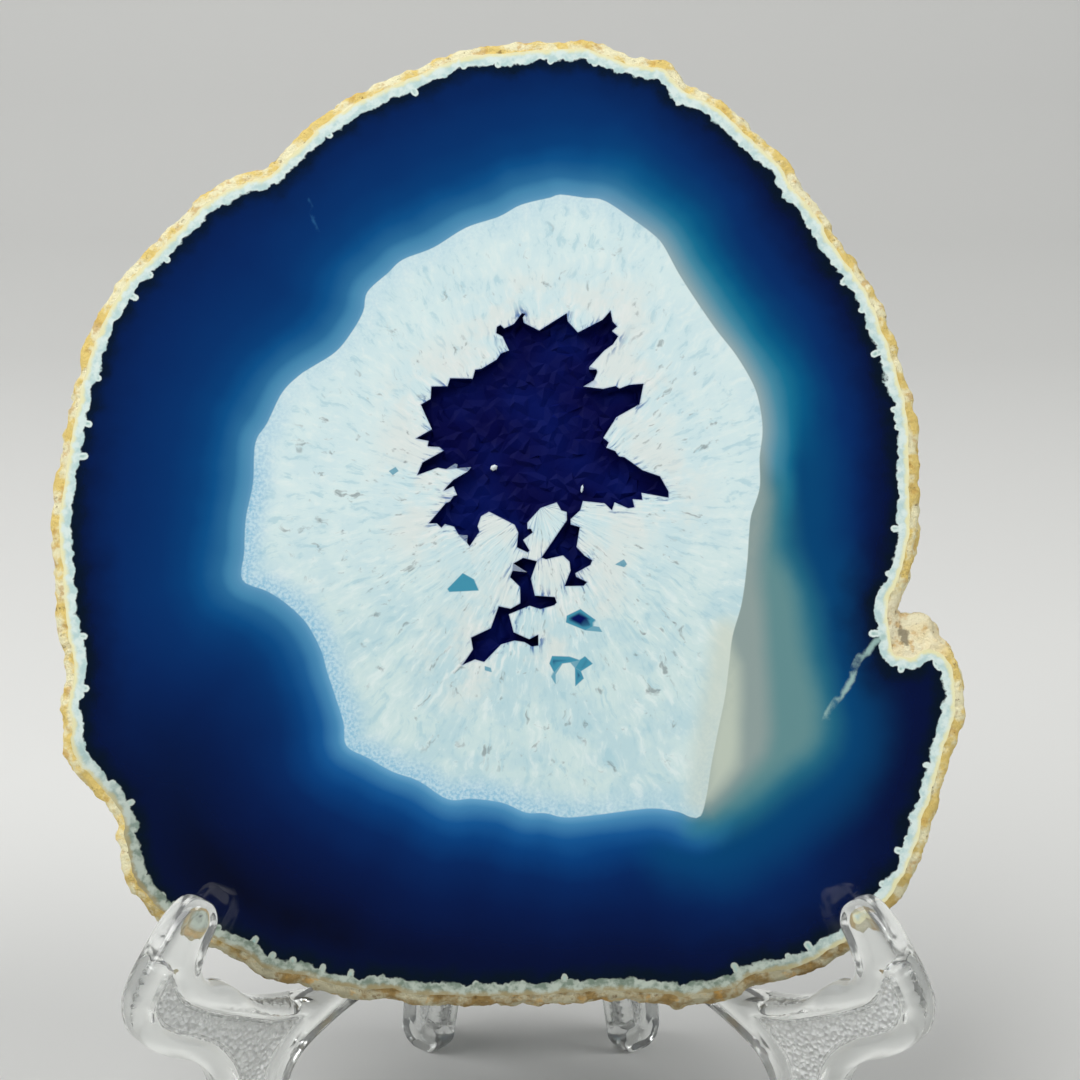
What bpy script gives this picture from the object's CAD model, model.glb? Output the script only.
# %% [markdown]
# # A dyed agate slice on its clear easel
#
# The object is one polished slice of agate, dyed blue, that leans in an easel of two
# crossed plates of clear moulded plastic. This lesson dresses a plain measured model of
# it. We load that model first and keep its box, because nothing we add may stand outside
# it. Every piece we make rides on the model's one body, named root.

# %% Load the measured model
import math

import bpy
import numpy as np
from mathutils import Matrix, Vector, noise
from mathutils.geometry import delaunay_2d_cdt


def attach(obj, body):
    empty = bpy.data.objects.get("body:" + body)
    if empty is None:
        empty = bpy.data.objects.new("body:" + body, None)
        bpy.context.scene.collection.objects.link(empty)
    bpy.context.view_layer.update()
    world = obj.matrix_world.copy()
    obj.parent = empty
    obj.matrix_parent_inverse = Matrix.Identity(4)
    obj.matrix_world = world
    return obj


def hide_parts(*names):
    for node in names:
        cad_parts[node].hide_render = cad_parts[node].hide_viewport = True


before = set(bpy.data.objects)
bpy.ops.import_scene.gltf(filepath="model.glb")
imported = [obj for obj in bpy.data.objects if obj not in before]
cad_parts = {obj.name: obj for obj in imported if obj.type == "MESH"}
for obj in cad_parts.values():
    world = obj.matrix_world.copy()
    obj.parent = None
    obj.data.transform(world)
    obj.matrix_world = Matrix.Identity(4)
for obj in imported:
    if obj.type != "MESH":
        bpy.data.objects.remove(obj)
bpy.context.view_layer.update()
MM = 0.001

# %% [markdown]
# ## Camera
#
# A photograph of a small thing is usually taken from about 20 cm, a little above it. We
# copy that: the lens looks down by 15 degrees, which is nearly square to a slice that
# leans back by 20, so the outline shows with hardly any foreshortening.

# %% Place the camera
scene = bpy.context.scene
scene.view_settings.view_transform = "Standard"
LENS_SPOT = (3.7, -211.8, 130.5)
LENS_PITCH = 15.0
LENS_LENGTH = 66.67
FILM_WIDTH = 36.0
NEAREST_SEEN = 10.0
lens = bpy.data.cameras.new("camera")
lens.lens = LENS_LENGTH
lens.sensor_width = FILM_WIDTH
lens.clip_start = NEAREST_SEEN * MM
camera = bpy.data.objects.new("camera", lens)
camera.location = Vector(LENS_SPOT) * MM
camera.rotation_euler = (math.radians(90.0 - LENS_PITCH), 0.0, 0.0)
scene.collection.objects.link(camera)
scene.camera = camera
print("camera", [round(value, 3) for value in camera.location], "lens", lens.lens)

# %% [markdown]
# ## Recipes for materials
#
# Every finish here is a chain of shader nodes. A few short helpers keep the chains
# readable: one adds a node and fills its sockets, some do sums with values and with
# places, one makes a ramp of colours from a list measured in millimetres, and one lays one
# colour over another. Colours are written as they look on a screen, 0 to 255, and turned
# into the linear values that a shader wants.


# %% Helpers for shader nodes
def linear(colour):
    """A screen colour, 0 to 255, as the linear colour that a shader works in."""
    parts = []
    for value in colour:
        share = value / 255.0
        parts.append(share / 12.92 if share <= 0.04045 else ((share + 0.055) / 1.055) ** 2.4)
    return (*parts, 1.0)


def put(socket, value):
    """Fill one socket: with a link from another node, or with a plain value."""
    if isinstance(value, bpy.types.NodeSocket):
        socket.id_data.links.new(value, socket)
    else:
        socket.default_value = value


def add(tree, kind, values=(), **settings):
    """A new node with its settings made and its numbered or named sockets filled."""
    made = tree.nodes.new("ShaderNode" + kind)
    for name, setting in settings.items():
        setattr(made, name, setting)
    for name, value in dict(values).items():
        put(made.inputs[name], value)
    return made


def maths(tree, operation, first, second=0.0, clamp=False):
    """One of Blender's sums with two values."""
    return add(tree, "Math", {0: first, 1: second}, operation=operation, use_clamp=clamp).outputs[0]


def times(tree, first, second):
    """One value times another."""
    return maths(tree, "MULTIPLY", first, second)


def with_some(tree, value, other, strength):
    """A value with some of another one added, such as noise, to make a border ragged."""
    return maths(tree, "ADD", value, times(tree, other, strength))


def vectors(tree, operation, first, second=(0.0, 0.0, 0.0), scale=None):
    """One of Blender's sums with two places or directions, or a scale for one of them."""
    values = {0: first, 1: second} if scale is None else {0: first, "Scale": scale}
    made = add(tree, "VectorMath", values, operation=operation)
    return made.outputs["Value" if operation == "LENGTH" else "Vector"]


def part_of(tree, place, axis):
    """The x, y or z of a place, as axis 0, 1 or 2."""
    return add(tree, "SeparateXYZ", {0: place}).outputs[axis]


def measured(tree, name):
    """A length or share that a mesh carries at each of its points."""
    return add(tree, "Attribute", attribute_name=name).outputs["Fac"]


def ramp(tree, distance, reach, steps):
    """Colours at distances in mm, from 0 to reach, blended between them."""
    made = add(tree, "ValToRGB", {0: maths(tree, "DIVIDE", distance, reach, clamp=True)})
    stops = made.color_ramp.elements
    while len(stops) < len(steps):
        stops.new(0.5)
    for stop, (where, colour) in zip(stops, steps):
        stop.position = where / reach
        stop.color = linear(colour)
    return made.outputs["Color"]


def share_between(tree, distance, start, end):
    """0 at start and 1 at end, smoothly."""
    made = add(tree, "MapRange", {"Value": distance, "From Min": start, "From Max": end},
               interpolation_type="SMOOTHSTEP")
    return made.outputs["Result"]


def over(tree, share, under, upper):
    """One colour laid over another, as far as the share says."""
    made = add(tree, "Mix", {0: share, 6: under, 7: upper}, data_type="RGBA")
    return made.outputs[2]


def tinted(tree, colour, share, strength, tint):
    """A screen colour laid over another colour, at most as strong as asked."""
    return over(tree, times(tree, share, strength), colour, linear(tint))


def speckle(tree, spot, scale, detail=2.0, roughness=0.5):
    """Soft noise, about 0.25 to 0.75, over a place given in mm."""
    made = add(tree, "TexNoise", {"Vector": spot, "Scale": scale, "Detail": detail,
                                  "Roughness": roughness})
    return made.outputs[0]


def millimetres(tree):
    """The place on the piece itself, in mm."""
    return vectors(tree, "SCALE", add(tree, "TexCoord").outputs["Object"], scale=1.0 / MM)


def new_finish(name):
    """A fresh material with its node tree and its main shader."""
    made = bpy.data.materials.new(name)
    made.use_nodes = True
    return made, made.node_tree, made.node_tree.nodes["Principled BSDF"]


print("helpers ready")

# %% [markdown]
# ## The slice's outline
#
# A saw cuts the nodule into a slab 5.5 mm thick. Its outline is a list of points on the
# polished face, in mm from its middle, clockwise from the top, with a notch at the right
# where the rind folds in. A smooth curve through the points, in steps of a third of a
# millimetre, gives an edge fine enough to carry the grain of the rind.

# %% Outline of the slice
THICKNESS = 5.5
OUTLINE = [
    (0.0, 56.4), (3.7, 56.6), (6.8, 56.5), (9.0, 55.5), (10.8, 54.6), (12.8, 54.4), (15.0, 54.0),
    (16.5, 52.6), (17.8, 51.1), (21.3, 49.1), (25.0, 45.6), (28.5, 41.9), (29.4, 40.2),
    (32.7, 35.8), (33.6, 33.8), (36.7, 29.5), (38.8, 24.8), (40.6, 19.2), (41.7, 14.4),
    (41.9, 9.0), (41.7, 0.4), (40.9, -2.9), (40.2, -5.4), (39.3, -7.0), (39.0, -8.2),
]
NOTCH_FRONT = [
    (38.8, -9.4), (38.6, -10.9), (38.8, -12.3), (40.0, -12.7), (41.3, -12.8), (42.7, -12.3),
    (43.8, -12.3), (44.9, -13.1),
]
NOTCH_BEHIND = [
    (39.4, -8.8), (40.0, -9.0), (40.7, -9.1), (41.5, -9.2), (42.7, -9.4), (43.6, -10.4),
    (44.4, -11.4), (45.2, -12.5),
]
OUTLINE_BELOW_NOTCH = [
    (45.9, -14.6), (46.1, -16.7), (46.0, -19.7), (45.2, -22.2), (44.4, -24.4), (43.1, -29.1),
    (42.0, -31.2), (41.5, -33.7), (39.0, -38.8), (34.5, -43.7), (30.3, -46.4), (27.0, -47.8),
    (22.2, -48.6), (20.4, -49.8), (15.9, -50.8), (14.3, -51.1), (12.3, -50.4), (5.4, -50.0),
    (-3.1, -50.4), (-14.0, -50.0), (-17.4, -49.3), (-21.6, -49.2), (-26.1, -48.0),
    (-30.8, -46.9), (-32.7, -45.4), (-36.3, -43.7), (-42.0, -40.8), (-44.3, -38.3),
    (-45.6, -36.6), (-46.8, -31.9), (-47.2, -29.3), (-50.3, -25.5), (-51.7, -24.1),
    (-52.7, -21.4), (-52.5, -19.7), (-53.0, -17.2), (-52.3, -13.1), (-53.2, -8.1), (-53.8, -0.7),
    (-54.0, 3.0), (-53.1, 9.9), (-52.0, 16.2), (-50.3, 22.4), (-47.1, 29.3), (-43.2, 33.3),
    (-38.6, 38.2), (-36.0, 40.2), (-33.8, 41.4), (-30.1, 42.4), (-28.8, 43.7), (-26.4, 45.8),
    (-22.6, 49.2), (-17.1, 52.1), (-11.5, 54.4), (-8.1, 55.7), (-3.3, 56.1),
]
RIND_STEP = 0.35


def smooth_loop(points, step, like=None):
    """Points along the smooth closed curve through a list, spaced by about a step."""
    knots = np.array(points, float)
    spacing = np.array(like if like is not None else points, float)
    found = []
    for index in range(len(knots)):
        before, start, end, after = (knots[(index + k) % len(knots)] for k in (-1, 0, 1, 2))
        length = np.linalg.norm(spacing[(index + 1) % len(knots)] - spacing[index])
        count = max(1, round(length / step))
        for share in np.arange(count) / count:
            s2 = share * share
            s3 = s2 * share
            leave = (end - before) * 0.5 * (s3 - 2 * s2 + share)
            arrive = (after - start) * 0.5 * (s3 - s2)
            found.append(start * (2 * s3 - 3 * s2 + 1) + leave + end * (3 * s2 - 2 * s3) + arrive)
    return np.array(found)


def right_hand(line, reach=1):
    """At each point of a line, the direction square to it, toward its right-hand side."""
    along = np.roll(line, -reach, axis=0) - np.roll(line, reach, axis=0)
    aside = np.stack([along[:, 1], -along[:, 0]], axis=1)
    return aside / np.linalg.norm(aside, axis=1)[:, None]


front_knots = OUTLINE + NOTCH_FRONT + OUTLINE_BELOW_NOTCH
behind_knots = OUTLINE + NOTCH_BEHIND + OUTLINE_BELOW_NOTCH
front_edge = smooth_loop(front_knots, RIND_STEP)
behind_edge = smooth_loop(behind_knots, RIND_STEP, like=front_knots)
print("points round the slice:", len(front_edge))

# %% [markdown]
# ## What is drawn in the stone
#
# Agate grows inward from the wall of a bubble: first thin bands, then, in what is left,
# white quartz crystals that point to the middle. The line where the bands stop, the mouth
# of the open hollow between the crystal tips, and a few dyed gaps between crystals are
# each one loop of points. The loops go into the mesh as edges, so that every border in
# the stone is as sharp as a cut, however coarse the rest of the mesh is.

# %% Loops in the stone
QUARTZ_EDGE = [
    (2.9, 38.9), (5.6, 38.5), (7.9, 38.1), (11.2, 35.8), (13.0, 34.4), (14.3, 33.0),
    (16.0, 29.7), (17.8, 26.7), (20.0, 23.3), (22.2, 20.3), (24.0, 17.0), (24.7, 14.4),
    (24.9, 11.7), (24.5, 8.8), (24.4, 5.4), (23.4, 2.4), (23.1, 0.3), (22.8, -2.9),
    (22.1, -7.3), (21.0, -10.9), (20.5, -14.2), (20.0, -17.5), (19.1, -21.4), (18.3, -25.0),
    (17.7, -28.3), (17.0, -30.5), (15.9, -30.6), (14.5, -30.0), (11.9, -29.6), (9.1, -29.8),
    (5.5, -30.2), (2.2, -30.4), (0.0, -29.9), (-2.1, -29.8), (-4.6, -28.7), (-7.9, -28.2),
    (-10.6, -28.2), (-13.7, -26.2), (-16.6, -25.1), (-19.2, -23.6), (-21.6, -22.2),
    (-21.9, -19.7), (-22.8, -16.7), (-23.7, -13.9), (-24.3, -11.7), (-25.9, -8.7),
    (-28.1, -6.5), (-30.2, -5.1), (-32.9, -3.8), (-32.7, -0.7), (-32.5, 3.0), (-31.7, 6.9),
    (-31.4, 11.4), (-30.1, 13.6), (-28.4, 17.0), (-26.5, 18.9), (-25.1, 19.8), (-22.4, 21.5),
    (-20.6, 23.7), (-19.3, 26.0), (-18.8, 28.2), (-16.5, 30.3), (-14.8, 31.8), (-11.4, 33.1),
    (-7.7, 35.3), (-4.0, 36.5), (-1.5, 37.8), (1.9, 38.6),
]
HOLLOW_ABOVE = [
    (8.3, 25.6), (7.4, 24.6), (4.6, 23.2), (3.5, 24.5), (3.4, 25.4), (0.3, 23.5), (-1.4, 24.4),
    (-1.5, 25.0), (-1.2, 25.4), (-1.6, 25.5), (-2.5, 24.3), (-3.6, 23.8), (-4.0, 24.2),
    (-4.4, 24.0), (-4.5, 23.3), (-3.8, 22.9), (-3.1, 21.3), (-4.0, 21.0), (-4.5, 20.3),
    (-6.2, 19.3), (-6.9, 19.2), (-7.2, 18.2), (-9.7, 18.3), (-10.0, 17.4), (-11.8, 17.4),
    (-11.9, 16.0), (-13.0, 15.4), (-11.8, 12.6), (-13.6, 11.6), (-12.2, 11.3), (-12.3, 10.7),
    (-11.0, 10.6), (-10.5, 10.2), (-12.9, 8.9), (-13.5, 7.5), (-11.2, 8.3), (-10.3, 8.1),
    (-9.3, 8.7), (-9.0, 8.6), (-9.1, 8.2), (-7.5, 8.3), (-7.9, 7.8), (-9.5, 6.9), (-10.2, 6.2),
    (-10.6, 5.7), (-9.5, 6.2), (-9.1, 5.2), (-9.5, 5.1), (-9.9, 4.5), (-10.4, 4.3), (-12.3, 2.1),
    (-11.4, 2.1), (-10.9, 1.6), (-10.5, 2.0), (-9.5, 1.7), (-9.0, 0.8), (-8.0, 0.7), (-8.1, -0.1),
    (-7.8, -0.5), (-6.7, 1.1), (-6.9, 1.7), (-6.5, 2.8), (-5.6, 3.3), (-2.8, 1.8), (-2.4, 0.9),
    (-2.6, -0.7), (-1.4, -1.3), (-1.2, -1.1), (-1.9, 0.1), (-0.8, 0.9), (-1.0, 1.3), (-1.4, 1.3),
    (-1.4, 2.0), (0.1, 3.6), (1.9, 4.2), (2.4, 3.3), (3.0, 3.1), (3.0, 2.2), (0.1, -1.9),
    (0.6, -2.1), (2.5, -1.7), (3.2, -2.4), (3.3, -3.4), (2.6, -5.1), (4.7, -5.1), (5.1, -4.7),
    (3.9, -4.1), (3.8, -3.7), (5.5, -2.8), (5.7, -2.3), (4.9, -1.8), (4.0, -0.8), (4.4, 1.4),
    (3.4, 1.7), (3.4, 2.3), (4.5, 3.3), (4.8, 4.3), (7.2, 4.0), (8.0, 3.2), (8.3, 4.1),
    (9.8, 3.4), (10.5, 3.5), (10.3, 4.4), (11.4, 4.3), (11.3, 5.1), (14.3, 4.5), (14.3, 5.2),
    (13.4, 6.9), (11.5, 7.6), (9.5, 9.1), (8.9, 9.2), (8.5, 9.8), (7.5, 10.2), (7.8, 10.8),
    (7.2, 11.3), (8.7, 13.6), (11.3, 15.0), (11.8, 17.3), (10.2, 17.2), (9.1, 16.8), (8.7, 17.1),
    (7.3, 16.8), (5.1, 17.1), (6.3, 17.8), (6.7, 18.7), (6.6, 19.0), (5.8, 19.0), (5.8, 19.3),
    (7.5, 21.1), (8.5, 21.8), (9.1, 22.7), (8.4, 23.3), (9.0, 23.8), (8.5, 24.4),
]
HOLLOW_BELOW = [
    (-1.9, -1.9), (-3.0, -2.5), (-1.5, -3.5), (-3.1, -3.3), (-3.4, -4.0), (-2.3, -5.1),
    (-2.3, -6.9), (-3.4, -7.5), (-4.7, -7.2), (-5.6, -9.6), (-7.8, -10.6), (-7.6, -11.9),
    (-8.8, -13.6), (-7.4, -13.0), (-6.4, -13.3), (-4.5, -11.4), (-3.0, -11.0), (-1.9, -11.2),
    (-1.1, -11.7), (-0.4, -11.6), (-0.4, -10.4), (-1.4, -10.9), (-3.1, -10.1), (-3.6, -8.1),
    (-1.3, -7.2), (-0.1, -7.6), (1.4, -7.2), (1.7, -6.9), (1.5, -6.3), (-0.7, -6.1),
    (-1.1, -4.2), (-0.4, -2.3),
]
DYED_GAPS = [
    [(1.1, -12.8), (0.8, -13.6), (1.3, -14.6), (1.0, -15.1), (1.4, -15.8), (1.4, -14.8),
     (2.2, -13.6), (3.1, -13.5), (3.6, -14.1), (3.6, -16.1), (4.5, -15.3), (4.2, -14.5),
     (5.5, -13.7), (4.7, -12.9), (4.1, -13.3), (3.0, -12.9)],
    [(4.3, -7.7), (2.8, -8.4), (2.7, -9.1), (4.8, -10.0), (6.6, -10.2), (6.3, -9.7),
     (5.6, -9.6), (5.6, -9.2), (5.9, -8.9)],
    [(-8.6, -3.5), (-10.3, -5.2), (-10.1, -5.5), (-6.9, -5.4), (-7.4, -4.2)],
    [(9.2, -2.3), (8.3, -2.8), (9.2, -3.1), (9.5, -2.8)],
    [(-6.3, -13.8), (-6.3, -14.2), (-5.6, -14.4), (-5.7, -14.0)],
    [(-16.6, 8.0), (-15.9, 8.4), (-15.6, 8.0), (-16.2, 7.6)],
]
HAZE = [
    (24.0, 8.0), (27.4, 6.0), (27.8, -1.0), (29.2, -4.2), (30.1, -7.2), (30.7, -11.7),
    (31.2, -14.9), (31.8, -18.1), (32.1, -21.4), (31.7, -23.3), (30.2, -25.3), (28.0, -27.0),
    (25.5, -28.6), (22.5, -30.6), (19.0, -32.4), (16.2, -32.2), (15.0, -28.0), (16.5, -21.0),
    (18.5, -14.0), (20.5, -7.0), (22.0, -1.0), (23.0, 4.0),
]
SAND_BAND = [
    (24.0, 10.0), (25.0, 9.0), (25.6, 4.0), (24.9, 0.0), (24.4, -5.0), (24.6, -8.5),
    (24.9, -13.6), (25.0, -18.1), (25.1, -21.4), (24.6, -23.9), (22.8, -25.8), (20.3, -28.2),
    (18.0, -30.2), (16.0, -30.3), (15.5, -26.0), (17.0, -21.0), (18.5, -15.0), (20.0, -9.0),
    (21.5, -2.0), (23.0, 5.0),
]
CREAM_BAND = [
    (20.4, -10.7), (21.8, -14.3), (21.8, -18.1), (21.6, -23.0), (21.4, -24.9), (19.9, -27.1),
    (17.8, -29.0), (17.2, -28.7), (18.0, -23.0), (19.4, -16.5),
]
CRACK = [
    (37.6, -11.3), (36.6, -11.9), (35.7, -13.1), (34.9, -13.3), (34.2, -14.9), (34.0, -15.9),
    (32.9, -17.5), (31.9, -18.5), (31.2, -19.6), (30.9, -20.4),
]
FEATHER = [(-25.2, 38.9), (-24.9, 37.1), (-24.1, 34.3)]
quartz_edge = smooth_loop(QUARTZ_EDGE, 0.5)
hollow_mouths = [np.array(HOLLOW_ABOVE), np.array(HOLLOW_BELOW)]
print("quartz edge points:", len(quartz_edge), "| dyed gaps:", len(DYED_GAPS))


# %% Distances to a loop
def segments(loop):
    """The start and end points of a closed loop's sides."""
    start = np.array(loop, float)
    return start, np.roll(start, -1, axis=0)


def distance_to(spots, loop):
    """How far each point is from a closed loop, in mm."""
    start, end = segments(loop)
    best = np.full(len(spots), 1e9)
    for a, b in zip(start, end):
        side = b - a
        share = np.clip(((spots - a) @ side) / max(side @ side, 1e-12), 0.0, 1.0)
        best = np.minimum(best, np.linalg.norm(spots - (a + share[:, None] * side), axis=1))
    return best


def is_inside(spots, loop):
    """Whether each point is inside a closed loop, by counting the sides to its right."""
    start, end = segments(loop)
    crossings = np.zeros(len(spots), int)
    for a, b in zip(start, end):
        spans = (a[1] > spots[:, 1]) != (b[1] > spots[:, 1])
        rise = b[1] - a[1] if abs(b[1] - a[1]) > 1e-12 else 1e-12
        reach = a[0] + (spots[:, 1] - a[1]) / rise * (b[0] - a[0])
        crossings += spans & (spots[:, 0] < reach)
    return crossings % 2 == 1


def signed_distance(spots, loop):
    """Distance to a loop, below zero inside it."""
    return np.where(is_inside(spots, loop), -1.0, 1.0) * distance_to(spots, loop)


def distance_to_line(spots, line):
    """Distance to an open line."""
    there_and_back = list(line) + list(line[-2:0:-1])
    return distance_to(spots, there_and_back)


middle_in = -signed_distance(np.zeros((1, 2)), quartz_edge)[0]
print("from the middle of the face out to the quartz's edge, mm:", round(middle_in, 1))

# %% [markdown]
# ## Rough rind
#
# The rind is the wall of the rock that the bubble was in, and it stays as rough as it
# broke. We loft rings of points from the polished face to the back and push each point
# out or in by noise: broad lumps, grains on them, and a fine grit. The coarse part is the
# same as in the measured model, so that the fine rind lies on the plain one.

# %% Shape of the rind
RIND_SWELL = 0.55
RIND_ROUGHNESS = 0.9
FINE_ROUGHNESS = 0.8
FACE_EDGE_ROUGHNESS = 0.14
FACE_EDGE_GRIT = 0.22
RIND_LIMIT = 0.85
SHOULDER = 0.85
SHOULDER_DEPTH = 0.7
NOTCH_DEPTH = 1.3
RIND_DEPTHS = [0.0, 0.35, 1.3, 2.7, 4.2, 5.15, THICKNESS]
RIND_SHARES = [0.0, 0.45, 0.8, 1.0, 0.85, 0.5, 0.1]


def coarse_rough(x, y, depth):
    """Broad lumps, grains and pits, the same as in the measured model."""
    lumps = noise.noise(Vector((x * 0.16, y * 0.16, depth * 0.25 + 3.7)))
    grains = noise.noise(Vector((x * 0.62 + 9.1, y * 0.62, depth * 0.8)))
    pits = max(0.0, noise.noise(Vector((x * 0.4, y * 0.4 + 21.0, depth * 0.6))) - 0.15)
    return 0.9 * lumps + 1.0 * grains - 2.0 * pits


def fine_rough(x, y, depth):
    """Crumbs and grit, finer than the measured model can show."""
    crumbs = noise.noise(Vector((x * 1.5, y * 1.5, depth * 1.5 + 40.0)))
    grit = noise.noise(Vector((x * 3.6, y * 3.6, depth * 3.6 + 80.0)))
    return 0.42 * crumbs + 0.2 * grit - 0.16


def shoulder(depth):
    """How far the crust is rounded back where it meets the polished face."""
    rise = max(0.0, 1.0 - depth / SHOULDER_DEPTH)
    return SHOULDER * (1.0 - math.sqrt(1.0 - rise * rise))


def rind_ring(depth):
    """One ring of the rind, at a depth in mm below the polished face, as x, y and z."""
    share = np.interp(depth, RIND_DEPTHS, RIND_SHARES)
    base = front_edge + (behind_edge - front_edge) * min(1.0, depth / NOTCH_DEPTH)
    out = -right_hand(behind_edge, 3)
    push = []
    sink = []
    on_face = depth == 0.0 or depth == THICKNESS
    for x, y in base:
        coarse = coarse_rough(x, y, depth)
        fine = fine_rough(x, y, depth)
        bumps = FACE_EDGE_ROUGHNESS * coarse + FACE_EDGE_GRIT * fine
        rough = share * (RIND_SWELL + FINE_ROUGHNESS * (RIND_ROUGHNESS * coarse + fine))
        rough = RIND_LIMIT * math.tanh(rough / RIND_LIMIT) if rough > 0.0 else rough
        push.append((bumps if depth == 0.0 else rough) - shoulder(depth))
        sink.append(0.0 if on_face else shoulder(depth) * abs(fine))
    push = np.array(push)
    if 0.0 < depth < SHOULDER_DEPTH:
        close = 1.0 - depth / SHOULDER_DEPTH
        push += close * 0.3 * np.array([fine_rough(x, y, 0.0) for x, y in base])
    spots = base + out * push[:, None]
    return np.column_stack([spots, -depth - np.array(sink)])


ring_depths = [0.0, 0.03, 0.08, 0.16, 0.27, 0.4, 0.55, 0.7, 0.9, 1.1, 1.3, 1.6, 1.9, 2.2, 2.5,
               2.8, 3.1, 3.4, 3.7, 4.0, 4.3, 4.6, 4.85, 5.1, 5.3, 5.42, THICKNESS]
rind_rings = [rind_ring(depth) for depth in ring_depths]
face_edge = rind_rings[0][:, :2]
back_edge = rind_rings[-1][:, :2]
print("rind:", len(rind_rings), "rings of", len(face_edge), "points")

# %% [markdown]
# ## Growth tubes under the rind
#
# Just inside the rind, tiny pale tubes and beads of chalcedony stick inward into the dark
# stone. They are flat in the polished face, only colour, so the mesh just measures how far
# each point is from the nearest tube, and the material draws them from that.

# %% Scatter the tubes
TUBE_SPACING = 3.2
tube_dice = np.random.default_rng(11)


def scatter_tubes():
    """Short lines that start at the pale band and point inward, as pairs of points."""
    inward = right_hand(front_edge, 2)
    step = round(TUBE_SPACING / RIND_STEP)
    tubes = []
    for index in range(0, len(front_edge), step):
        here = (index + int(tube_dice.integers(0, step))) % len(front_edge)
        low_down = front_edge[here][1] < 0.0
        plenty = 0.6 if low_down and front_edge[here][0] > -40.0 else 0.36
        if tube_dice.random() > plenty:
            continue
        start = front_edge[here] + inward[here] * (1.7 + 0.3 * tube_dice.random())
        turn = tube_dice.normal(0.0, 0.45)
        cos, sin = math.cos(turn), math.sin(turn)
        x, y = inward[here]
        way = np.array([x * cos - y * sin, x * sin + y * cos])
        end = start + way * (0.25 + 0.75 * tube_dice.random() ** 2)
        tubes.append((start - inward[here] * 1.3, end))
    return tubes


def distance_to_tubes(spots, tubes):
    """How far each point is from the nearest tube, or 9 mm where none is near."""
    best = np.full(len(spots), 9.0)
    for a, b in tubes:
        near = np.abs(spots - a).max(axis=1) < 3.0
        side = b - a
        share = np.clip(((spots[near] - a) @ side) / (side @ side), 0.0, 1.0)
        away = np.linalg.norm(spots[near] - (a + share[:, None] * side), axis=1)
        best[near] = np.minimum(best[near], away)
    return best


growth_tubes = scatter_tubes()
print("growth tubes:", len(growth_tubes))

# %% [markdown]
# ## The sawn faces as a mesh
#
# A flat face needs no points for its shape, only for its drawing. We triangulate it with
# the loops as fixed edges, a loose grid over the middle, and a fine one along the rind.
# Each point then carries what the material needs to know: how far it is from the rind,
# from the quartz, from the hollow, from a dyed gap and from a tube.

# %% Triangulate a face
GRID = 0.9
RIM_GRID = 0.3
RIM_WIDTH = 2.9
CLEAR_OF_EDGE = 0.16
CLEAR_OF_LOOPS = 0.14
PATTERN_MIDDLE = (-2.0, 3.0)


def honeycomb(low, high, pitch):
    """Points in staggered rows that fill a rectangle."""
    rows = np.arange(low[1], high[1], pitch * 0.866)
    columns = np.arange(low[0], high[0], pitch)
    grid = [(x + (pitch / 2 if row % 2 else 0.0), y) for row, y in enumerate(rows) for x in columns]
    return np.array(grid)


def face_points(edge, loops):
    """The grid points of one face, clear of its loops: wide in the middle, fine at the rim."""
    kept = []
    grids = ((GRID, RIM_WIDTH, np.inf), (RIM_GRID, CLEAR_OF_EDGE, RIM_WIDTH))
    for pitch, nearest, farthest in grids:
        grid = honeycomb(edge.min(axis=0), edge.max(axis=0), pitch)
        grid = grid[is_inside(grid, edge)]
        depth_in = distance_to(grid, edge[::4])
        kept.append(grid[(depth_in > nearest) & (depth_in <= farthest)])
    kept = np.vstack(kept)
    for loop in loops:
        kept = kept[distance_to(kept, loop) > CLEAR_OF_LOOPS]
    return kept


def triangulate(edge, loops, holes):
    """Points and triangles of one face, with the loops as edges and the holes left open."""
    rings = [edge] + loops + holes
    flat = [tuple(spot) for ring in rings for spot in ring]
    sides = []
    first = 0
    for ring in rings:
        sides += [(first + i, first + (i + 1) % len(ring)) for i in range(len(ring))]
        first += len(ring)
    flat += [tuple(spot) for spot in face_points(edge, rings[1:])]
    spots, _, faces, _, _, _ = delaunay_2d_cdt([Vector(spot) for spot in flat], sides, [], 1, 1e-6)
    spots = np.array([tuple(spot) for spot in spots])
    faces = np.array([list(face) for face in faces])
    for hole in holes:
        middle = spots[faces].mean(axis=1)
        faces = faces[~is_inside(middle, hole)]
    return spots, faces


def measure(spots, edge):
    """What each point of the stone knows about its place in the pattern."""
    across, up = (spots - PATTERN_MIDDLE).T
    angle = np.degrees(np.arctan2(up, across))

    def toward(centre, half_angle, soft):
        """1 in the directions about one angle, falling softly to 0 beyond a half angle."""
        away = np.abs((angle - centre + 180.0) % 360.0 - 180.0)
        share = np.clip((half_angle + soft - away) / (2 * soft), 0.0, 1.0)
        return share * share * (3 - 2 * share)

    return {
        "to_rim": distance_to(spots, edge),
        "from_quartz": signed_distance(spots, quartz_edge),
        "from_hollow": np.min([signed_distance(spots, loop) for loop in hollow_mouths], axis=0),
        "from_gap": np.min([signed_distance(spots, gap) for gap in DYED_GAPS], axis=0),
        "from_haze": signed_distance(spots, HAZE),
        "from_sand": signed_distance(spots, SAND_BAND),
        "from_cream": signed_distance(spots, CREAM_BAND),
        "to_crack": distance_to_line(spots, CRACK),
        "to_feather": distance_to_line(spots, FEATHER),
        "to_tube": distance_to_tubes(spots, growth_tubes),
        "right": toward(10.0, 58.0, 16.0),
        "bottom": toward(-102.0, 46.0, 22.0),
        "upper_left": toward(116.0, 54.0, 25.0),
    }


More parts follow.
